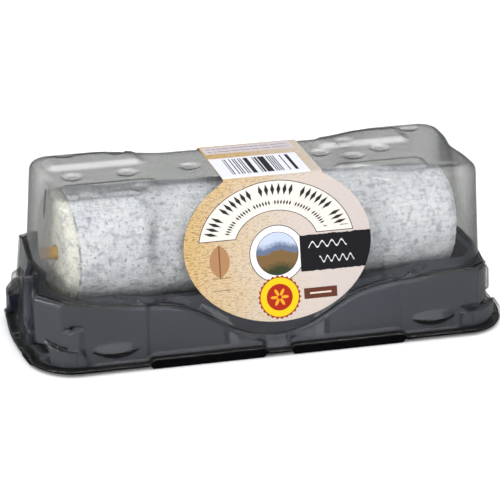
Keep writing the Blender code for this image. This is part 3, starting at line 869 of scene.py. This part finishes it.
def parchment(tree, x, s, place):
    """Parchment ground: ochre on the left and up the tab, cream to the right, with brown fibres.

    Blotches are 11 mm across, fibres 2 by 0.6 mm and grain 0.4 mm.
    """
    blotch = node(tree, NOISE, {"Vector": place, "Scale": 0.09, "Detail": 3.0})
    sway = node(tree, MATH, (blotch, 26.0, x), operation="MULTIPLY_ADD")
    up_tab = node(tree, RANGE, (s, 58.0, 72.0))
    side = node(tree, MATH, (up_tab, -22.0, sway), operation="MULTIPLY_ADD")
    stretched = node(tree, VECTOR, (place, (0.45, 1.3, 1.0)), operation="MULTIPLY")
    fibre = node(tree, NOISE, {"Vector": stretched, "Scale": 1.2, "Detail": 4.0, "Roughness": 0.65})
    deeper = node(tree, MATH, (node(tree, RANGE, (side, 30.0, -24.0)), 0.62, 0.05), operation="MULTIPLY_ADD")
    grain = node(tree, NOISE, {"Vector": place, "Scale": 2.4, "Detail": 2.0})
    return layered(tree, "#bf9e63",
                   (node(tree, RANGE, (side, -30.0, 14.0)), "#b9ad9f"),
                   (node(tree, RANGE, (side, 10.0, 44.0)), "#b4aaa6"),
                   (both(tree, node(tree, RANGE, (grain, 0.5, 0.62)), deeper), "#80683c"),
                   (both(tree, node(tree, RANGE, (fibre, 0.52, 0.6)), deeper), "#5e4522"))


def lozenges(tree, reach, turn, count, radius, high, wide, gap):
    """A row of lozenges along an arc, in groups of seven."""
    step = node(tree, MATH, (turn, count), operation="MULTIPLY")
    off = node(tree, MATH, (node(tree, MATH, (step,), operation="FRACT"), 0.5), operation="SUBTRACT")
    off = node(tree, MATH, (off,), operation="ABSOLUTE")
    rise = node(tree, MATH, (reach, radius), operation="SUBTRACT")
    rise = node(tree, MATH, (rise,), operation="ABSOLUTE")
    rise = node(tree, MATH, (rise, wide / high), operation="MULTIPLY")
    shape = node(tree, MATH, (node(tree, MATH, (off, rise)), wide), operation="LESS_THAN")
    group = repeated(tree, step, 1 / 7, "FRACT")
    return both(tree, shape, node(tree, MATH, (group, gap), operation="LESS_THAN"))


def arch_layers(tree, s, place):
    """Cream arch band with an ink edge and rows of lozenges."""
    reach, turn = round_field(tree, place, (2.5, 36.5), (33.5, 26.4))
    layers = []
    for half, foot, paint in ((0.236, 39.8, "#3c3836"), (0.225, 40.15, "#cbc5bf")):
        band = both(tree, node(tree, MATH, (reach, 0.764, half), operation="COMPARE"),
                    node(tree, MATH, (s, foot), operation="GREATER_THAN"))
        layers.append((band, paint))
    clear_of_foot = node(tree, MATH, (s, 42.0), operation="GREATER_THAN")
    for row in ((11.0, 0.865, 0.095, 0.34, 0.86), (17.0, 0.66, 0.042, 0.34, 0.9)):
        layers.append((both(tree, lozenges(tree, reach, turn, *row), clear_of_foot, band), "#262322"))
    return layers


def leaf_layers(tree, x, s, place):
    """Leaf over two rules."""
    leaf = both(tree, disc(tree, place, (-25.6, 31.3), 7.6), disc(tree, place, (-19.0, 31.3), 7.6))
    vein = both(tree, leaf, node(tree, MATH, (x, -22.3, 0.3), operation="COMPARE"))
    rules = [(box(tree, x, s, (-25.8, height - 0.14), (-18.0, height + 0.14)), "#6b533a")
             for height in (19.3, 24.35)]
    return [(leaf, "#96704e"), (vein, "#6e4a30"), *rules]


def hill_layers(tree, x, s, place):
    """Round view of hills inside a white ring."""
    roll = repeated(tree, x, 0.45, "SINE")
    rough = node(tree, NOISE, {"Vector": place, "Scale": 0.7, "Detail": 4.0})
    hill = node(tree, MATH, (roll, -0.9, s), operation="MULTIPLY_ADD")
    hill = node(tree, MATH, (rough, 3.0, hill), operation="MULTIPLY_ADD")
    view = layered(tree, "#2b3420", (node(tree, RANGE, (hill, 27.0, 30.5)), "#6b5333"),
                   (node(tree, RANGE, (hill, 34.4, 35.0)), "#58647c"),
                   (node(tree, RANGE, (hill, 36.4, 39.0)), "#aab4c6"))
    rings = ((12.0, "#3a3a40"), (11.64, "#d6d3d2"), (9.12, "#3c3c42"), (8.88, view))
    return [(disc(tree, place, (2.5, 32.5), radius), paint) for radius, paint in rings]


def banner_layers(tree, x, s, place):
    """Dark banner with a torn edge and two white waves."""
    tear = node(tree, NOISE, {"Vector": place, "Scale": 0.55, "Detail": 4.0})
    torn = node(tree, MATH, (tear, 1.3, s), operation="MULTIPLY_ADD")
    banner = both(tree, node(tree, MATH, (x, 12.3), operation="GREATER_THAN"),
                  node(tree, MATH, (torn, 32.1, 7.6), operation="COMPARE"))
    layers = [(banner, "#0f0f13")]
    for middle, start, stop, pitch in ((34.8, 16.0, 32.5, 1.5), (28.4, 20.5, 35.5, 1.9)):
        line = node(tree, MATH, (repeated(tree, x, pitch, "SINE"), -1.2, s), operation="MULTIPLY_ADD")
        stroke = both(tree, node(tree, MATH, (line, middle, 0.34), operation="COMPARE"),
                      box(tree, x, s, (start, 20), (stop, 45)))
        layers.append((stroke, "#c4c4c4"))
    return layers


def medal_layers(tree, place):
    """Yellow medal with a scalloped edge and a flower."""
    ring, around = round_field(tree, place, (2.4, 14.2))
    edge = node(tree, MATH, (repeated(tree, around, 26.0, "SINE"), 0.32, ring), operation="MULTIPLY_ADD")
    flower = node(tree, MATH, (repeated(tree, around, 6.0, "COSINE"), -1.5, ring), operation="MULTIPLY_ADD")
    parts = ((edge, 8.9, "#84301a"), (ring, 8.2, "#d2ae14"), (ring, 5.6, "#941f10"), (flower, 2.4, "#d8961c"),
             (ring, 0.9, "#941f10"))
    return [(node(tree, MATH, (field, radius), operation="LESS_THAN"), paint)
            for field, radius, paint in parts]


def tab_layers(tree, x, s, place):
    """Bar pattern and a strip with two broken lines on the tab."""
    cell = repeated(tree, x, 2.1, "FLOOR")     # bars are a multiple of 0.48 mm
    chance = node(tree, "ShaderNodeTexWhiteNoise", {"W": cell}, noise_dimensions="1D").outputs["Value"]
    bars = both(tree, node(tree, MATH, (chance, 0.5), operation="GREATER_THAN"),
                box(tree, x, s, (-12.7, 69.0), (15.8, 88.2)))
    only_x = node(tree, VECTOR, (place, (1.0, 0.0, 0.0)), operation="MULTIPLY")
    breaks = node(tree, NOISE, {"Vector": only_x, "Scale": 0.9, "Detail": 2.0})
    dash = node(tree, RANGE, (breaks, 0.42, 0.46))
    lines = [(both(tree, dash, box(tree, x, s, (-16, height - 0.5), (19.5, height + 0.5))), "#8b7f84")
             for height in (98.6, 102.0)]
    return [(box(tree, x, s, (-18.2, 65.3), (19.6, 90.0)), "#d2d2d8"), (bars, "#1c1c20"),
            (box(tree, x, s, (-17.6, 96.0), (21.2, 105.0)), "#b8b0b2"), *lines]


def printed_paper(tree):
    """Printed paper, uncoated and matt: fields of colour with plain shapes on them."""
    x, s, place = label_fields(tree)
    tag = ((box(tree, x, s, (13.0, 12.3), (27.3, 16.8)), "#522c1e"),
           (box(tree, x, s, (15.5, 14.2), (24.8, 14.9)), "#c8b8ac"))
    colour = layered(tree, parchment(tree, x, s, place),
                     *arch_layers(tree, s, place), *leaf_layers(tree, x, s, place),
                     *hill_layers(tree, x, s, place), *banner_layers(tree, x, s, place),
                     *medal_layers(tree, place), *tag, *tab_layers(tree, x, s, place))
    pulp = node(tree, NOISE, {"Vector": place, "Scale": 2.0, "Detail": 3.0})     # paper fibre 0.5 mm
    bump = node(tree, BUMP, {"Strength": 0.15, "Distance": 0.0001, "Height": pulp})
    return node(tree, PRINCIPLED, {"Base Color": colour, "Roughness": 0.6, "Normal": bump,
                                   "Specular IOR Level": 0.12})


def studio_floor(tree):
    """Matt white studio floor, with clouds 100 mm across."""
    faint = node(tree, NOISE, {"Vector": millimetres(tree), "Scale": 0.01, "Detail": 1.0})
    colour = layered(tree, "#f6f6f6", (faint, "#f9f9f9"))
    return node(tree, PRINCIPLED, {"Base Color": colour, "Roughness": 0.9})


# Settings and pieces

class CheesePackSettings(bpy.types.PropertyGroup):
    """Sizes and colours that a user may change before the pieces are made"""
    lid_wall: bpy.props.FloatProperty(name="Lid wall", description="Thickness of the clear film",
                                      default=0.0003, unit="LENGTH")
    tray_wall: bpy.props.FloatProperty(name="Tray wall", description="Thickness of the tray",
                                       default=0.0006, unit="LENGTH")
    label_thickness: bpy.props.FloatProperty(name="Label", description="Thickness of the paper label",
                                             default=0.0003, unit="LENGTH")
    rind_relief: bpy.props.FloatProperty(name="Rind relief", description="Depth of the wrinkles in the rind",
                                         default=0.0009, unit="LENGTH")
    straw_radius: bpy.props.FloatProperty(name="Straw radius", description="Outer radius of the straw",
                                          default=0.0027, unit="LENGTH")
    film_colour: bpy.props.FloatVectorProperty(name="Film colour", description="Colour of the lid, face on",
                                               default=linear("#f4f4f3"), size=4, subtype="COLOR")
    tray_colour: bpy.props.FloatVectorProperty(name="Tray colour", description="Colour of the tray's plastic",
                                               default=linear("#1a1c2a"), size=4, subtype="COLOR")
    straw_colour: bpy.props.FloatVectorProperty(name="Straw colour", description="Ground colour of the straw",
                                                default=linear("#cf9f4c"), size=4, subtype="COLOR")


class CHEESE_OT_lid(bpy.types.Operator):
    """Moulded clear lid"""
    bl_idname = "cheese.lid"
    bl_label = "Clear lid"

    def execute(self, context):
        settings = context.scene.cheese_pack
        lid = wrapped_grid("clear_lid", loop_columns(), lid_rows())
        add_modifier(lid, "SOLIDIFY", thickness=settings.lid_wall, offset=-1.0)
        finish_piece(lid, "lid", "clear_plastic",
                     new_material("clear PET film", clear_film, tuple(settings.film_colour)))
        return {"FINISHED"}


class CHEESE_OT_tray(bpy.types.Operator):
    """Slate tray with its shelf and trough"""
    bl_idname = "cheese.tray"
    bl_label = "Slate tray"

    def execute(self, context):
        settings = context.scene.cheese_pack
        feet = len(FOOT_RAIL)
        groove_end = feet + len(base_rows(0.0, 0.0, 0.0, False)) - 1
        # the feet, the flange's top and the groove behind the ridge get the painted shade
        painted_shade_spans = ((0, feet + FLANGE_ROWS), (groove_end - len(GROOVE_ROWS), groove_end))
        tray = wrapped_grid("slate_tray", loop_columns(), tray_rows(), painted_shade_spans)
        add_modifier(tray, "SOLIDIFY", thickness=settings.tray_wall, offset=-1.0)
        finish_piece(tray, "tray", "tray_plastic",
                     new_material("slate polystyrene", slate_plastic, tuple(settings.tray_colour)),
                     new_material("slate polystyrene painted in shade", shade_painted_plastic))
        return {"FINISHED"}


def log_radius(x):
    return lerp(LOG_RADIUS_LEFT, LOG_RADIUS_RIGHT, (x - LOG_LEFT) / (LOG_RIGHT - LOG_LEFT))


def log_end(end, rounding, inwards):
    """An end of the log from the straw's bore to the side, as (x, radius)."""
    face = log_radius(end + inwards * rounding) - rounding
    points = []
    for k in range(18):
        dish = LOG_DISH * (1.0 - k / 18) ** 2
        points.append((end + inwards * dish, lerp(BORE_RADIUS, face, k / 18)))
    for k in range(13):
        turn = math.radians(7.5 * k)
        x = end + inwards * rounding * (1.0 - math.cos(turn))
        points.append((x, log_radius(x) - rounding * (1.0 - math.sin(turn))))
    return points


class CHEESE_OT_log(bpy.types.Operator):
    """Cheese log with its wrinkled rind"""
    bl_idname = "cheese.log"
    bl_label = "Cheese log"

    def execute(self, context):
        left = log_end(LOG_LEFT, LOG_ROUND_LEFT, 1.0)
        right = log_end(LOG_RIGHT, LOG_ROUND_RIGHT, -1.0)
        count = 150
        side = [lerp(left[-1][0], right[-1][0], k / count) for k in range(1, count)]
        outline = left + [(x, log_radius(x)) for x in side] + right[::-1] + left[:1]
        rows = []
        for x, radius in outline:
            def ring(c, x=x, radius=radius):
                middle = LOG_REST + log_radius(x)
                if radius < 2.0 * BORE_RADIUS:
                    middle = lerp(STRAW_Z_LEFT, middle, smooth(BORE_RADIUS, 2.0 * BORE_RADIUS, radius))
                y = radius * math.cos(c[3])
                return x - LOG_SLANT * y * smooth(*SLANT_SPAN, x), y, middle + radius * math.sin(c[3])
            rows.append(ring)
        turns = 180
        columns = [(1, 1, "turn", 2.0 * math.pi * k / turns) for k in range(turns + 1)]
        log = wrapped_grid("cheese_log", columns, rows)
        bpy.ops.object.mode_set(mode="EDIT")
        bpy.ops.mesh.normals_make_consistent(inside=False)
        bpy.ops.object.mode_set(mode="OBJECT")
        depth = context.scene.cheese_pack.rind_relief
        normals = [vertex.normal.copy() for vertex in log.data.vertices]
        for vertex, normal in zip(log.data.vertices, normals):
            place = vertex.co / MM
            lumps = sum(noise.noise(place * pitch) * share for pitch, share in RIND_LUMPS)
            vertex.co += normal * (lumps - RIND_SINK) * depth
        finish_piece(log, "cheese", "rind", new_material("ash bloomy rind", bloomy_rind))
        return {"FINISHED"}


class CHEESE_OT_straw(bpy.types.Operator):
    """Hollow straw through the log"""
    bl_idname = "cheese.straw"
    bl_label = "Straw"

    def execute(self, context):
        settings = context.scene.cheese_pack
        length = STRAW_RIGHT - STRAW_LEFT
        slope = math.atan2(STRAW_Z_LEFT - STRAW_Z_RIGHT, length)
        middle = Vector((STRAW_LEFT + STRAW_RIGHT, 0.0, STRAW_Z_LEFT + STRAW_Z_RIGHT)) * (MM / 2)
        deselect()
        bpy.ops.mesh.primitive_cylinder_add(vertices=28, radius=settings.straw_radius, depth=length * MM,
                                            end_fill_type="NGON", location=middle,
                                            rotation=(0.0, math.pi / 2 + slope, 0.0))
        straw = own_mesh("rye_straw")
        bpy.ops.object.transform_apply(location=True, rotation=True, scale=True)
        bpy.ops.object.mode_set(mode="EDIT")
        bpy.ops.mesh.select_mode(type="FACE")
        select_faces(straw, lambda face: len(face.verts) > 8)
        bpy.ops.mesh.inset(thickness=STRAW_WALL * MM, use_individual=True)
        for side in (-1.0, 1.0):
            select_faces(straw, lambda face: len(face.verts) > 8 and face.normal.x * side > 0.5)
            inwards = (-side * STRAW_HOLE * MM, 0.0, 0.0)
            bpy.ops.mesh.extrude_region_move(TRANSFORM_OT_translate={"value": inwards})
        bpy.ops.object.mode_set(mode="OBJECT")
        finish_piece(straw, "straw", "straw",
                     new_material("dried rye straw", rye_straw, tuple(settings.straw_colour)))
        return {"FINISHED"}


def label_profile():
    """The lid's outline in the plane x = 0, from the panel's foot into the rear bend, as (y, z, s)."""
    top = LID_HEIGHT - BEND
    edge = panel_half(top)
    points = [(-panel_half(PANEL_FOOT_Z), PANEL_FOOT_Z), (-edge, top)]
    for k in range(1, 10):
        turn = math.radians(10 * k)
        points.append((-edge + BEND * (1.0 - math.cos(turn)), top + BEND * math.sin(turn)))
    points += [(-y, z) for y, z in points[:4:-1]]
    placed, run = [], 0.0
    for k, (y, z) in enumerate(points):
        if k:
            run += math.dist(points[k - 1], (y, z))
        placed.append((y, z, run))
    return placed


def on_profile(profile, s, lift):
    """The point s up the profile, lifted off it."""
    for (y0, z0, s0), (y1, z1, s1) in zip(profile, profile[1:]):
        if s <= s1:
            break
    t = (s - s0) / (s1 - s0)
    ny, nz = -(z1 - z0) / (s1 - s0), (y1 - y0) / (s1 - s0)
    return lerp(y0, y1, t) + ny * lift, lerp(z0, z1, t) + nz * lift


class CHEESE_OT_label(bpy.types.Operator):
    """Oval paper label with its tab over the top"""
    bl_idname = "cheese.label"
    bl_label = "Paper label"

    def execute(self, context):
        across, up = 72, 150
        profile = label_profile()
        low, high = LABEL_CENTRE - LABEL_HALF_HEIGHT, profile[-1][2]
        deselect()
        bpy.ops.mesh.primitive_grid_add(x_subdivisions=across, y_subdivisions=up, size=1.0)
        label = own_mesh("paper_label")
        layer = label.data.uv_layers[0]
        layer.name = "label_mm"
        flat = {}
        for vertex in label.data.vertices:
            s = low + (high - low) * (vertex.co.y + 0.5)
            if s < LABEL_CENTRE:      # rows stand closer to the oval's foot
                t = (LABEL_CENTRE - s) / LABEL_HALF_HEIGHT
                s = LABEL_CENTRE - LABEL_HALF_HEIGHT * math.sin(t * math.pi / 2)
            reach = 1.0 - ((s - LABEL_CENTRE) / LABEL_HALF_HEIGHT) ** 2
            width = LABEL_HALF_WIDTH * math.sqrt(max(reach, 0.0))
            if s > LABEL_CENTRE:
                width = max(width, TAB_HALF_WIDTH)
            x = LABEL_X + width * 2.0 * vertex.co.x
            y, z = on_profile(profile, s, LABEL_LIFT)
            flat[vertex.index] = (x, s)
            vertex.co = Vector((x, y, z)) * MM
        for loop in label.data.loops:
            x, s = flat[loop.vertex_index]
            layer.data[loop.index].uv = ((x - LABEL_U[0]) / LABEL_U[1], (s - LABEL_V[0]) / LABEL_V[1])
        add_modifier(label, "SOLIDIFY", thickness=context.scene.cheese_pack.label_thickness, offset=1.0,
                     material_offset=1)
        finish_piece(label, "label", "printed_paper",
                     new_material("printed satin paper", printed_paper),
                     new_material("gummed paper back", gummed_back))
        return {"FINISHED"}


# The stage, in metres and degrees
AIM = Vector((0.0, 0.0, 0.035))
AZIMUTH, ELEVATION, DISTANCE = -15.25, 20.76, 1.2006
LENS, SENSOR_WIDTH, SHIFT = 203.8, 36.0, (-0.00438, -0.01828)
FLOOR_SIZE, FLOOR_DROP = 12.0, 0.0002
LIGHTS = (("key softbox", (0.0, -1.7, 1.7), (2.2, 1.8), 23.0, "#ffffff"),
          ("left strip", (-1.75, -0.9, 0.3), (1.6, 0.5), 27.0, "#ffffff"),
          ("low fill", (0.2, -1.9, 0.45), (1.8, 0.5), 10.0, "#ffffff"),
          ("top softbox", (0.0, 0.4, 2.2), (3.0, 2.2), 27.0, "#fbfcff"))


def area_light(name, place, size, power, colour):
    """Soft light of a size in metres and a power in watts, turned to the pack."""
    deselect()
    bpy.ops.object.light_add(type="AREA", location=place)
    lamp = bpy.context.object
    lamp.name = name
    lamp.data.shape = "RECTANGLE"
    lamp.data.size, lamp.data.size_y = size
    lamp.data.energy = power
    lamp.data.color = linear(colour)[:3]
    lamp.rotation_mode = "QUATERNION"
    lamp.rotation_quaternion = (AIM - Vector(place)).to_track_quat("-Z", "Y")


class CHEESE_OT_stage(bpy.types.Operator):
    """Pale floor, soft light and the camera"""
    bl_idname = "cheese.stage"
    bl_label = "Stage"

    def execute(self, context):
        deselect()
        bpy.ops.mesh.primitive_plane_add(size=FLOOR_SIZE, location=(0.0, 0.0, -FLOOR_DROP))
        floor = own_mesh("floor")
        floor.data.materials.append(new_material("studio floor", studio_floor))
        for light in LIGHTS:
            area_light(*light)
        world = bpy.data.worlds.new("studio")
        world.use_nodes = True
        tree = world.node_tree
        tree.nodes.clear()
        up = node(tree, SPLIT, (node(tree, "ShaderNodeTexCoord").outputs["Generated"],)).outputs["Z"]
        sky = layered(tree, "#606266", (node(tree, RANGE, (up, 0.08, 0.62)), "#f0f1f4"))
        background = node(tree, "ShaderNodeBackground", {"Color": sky})
        node(tree, "ShaderNodeOutputWorld", {"Surface": background})
        context.scene.world = world
        turn, lift = math.radians(AZIMUTH), math.radians(ELEVATION)
        back = Vector((math.sin(turn) * math.cos(lift), -math.cos(turn) * math.cos(lift), math.sin(lift)))
        bpy.ops.object.camera_add(location=AIM + back * DISTANCE)
        camera = bpy.context.object
        camera.rotation_mode = "QUATERNION"
        camera.rotation_quaternion = (-back).to_track_quat("-Z", "Y")
        camera.data.lens = LENS
        camera.data.sensor_width = SENSOR_WIDTH
        camera.data.shift_x, camera.data.shift_y = SHIFT
        camera.data.clip_start, camera.data.clip_end = 0.01, 50.0
        context.scene.camera = camera
        context.scene.view_settings.view_transform = "Standard"
        return {"FINISHED"}


class CHEESE_PT_panel(bpy.types.Panel):
    bl_label = "Cheese pack"
    bl_idname = "CHEESE_PT_panel"
    bl_space_type = "VIEW_3D"
    bl_region_type = "UI"
    bl_category = "Cheese pack"

    def draw(self, context):
        for name in CheesePackSettings.__annotations__:
            self.layout.prop(context.scene.cheese_pack, name)
        for operator in OPERATORS:
            self.layout.operator(operator.bl_idname)


OPERATORS = (CHEESE_OT_tray, CHEESE_OT_lid, CHEESE_OT_log, CHEESE_OT_straw, CHEESE_OT_label, CHEESE_OT_stage)
CLASSES = (CheesePackSettings, *OPERATORS, CHEESE_PT_panel)


def register():
    for made in CLASSES:
        bpy.utils.register_class(made)
    bpy.types.Scene.cheese_pack = bpy.props.PointerProperty(type=CheesePackSettings)


def unregister():
    del bpy.types.Scene.cheese_pack
    for made in reversed(CLASSES):
        bpy.utils.unregister_class(made)


def main():
    register()
    bpy.ops.cheese.tray()
    bpy.ops.cheese.lid()
    bpy.ops.cheese.log()
    bpy.ops.cheese.straw()
    bpy.ops.cheese.label()
    bpy.ops.cheese.stage()


if __name__ == "__main__":
    main()
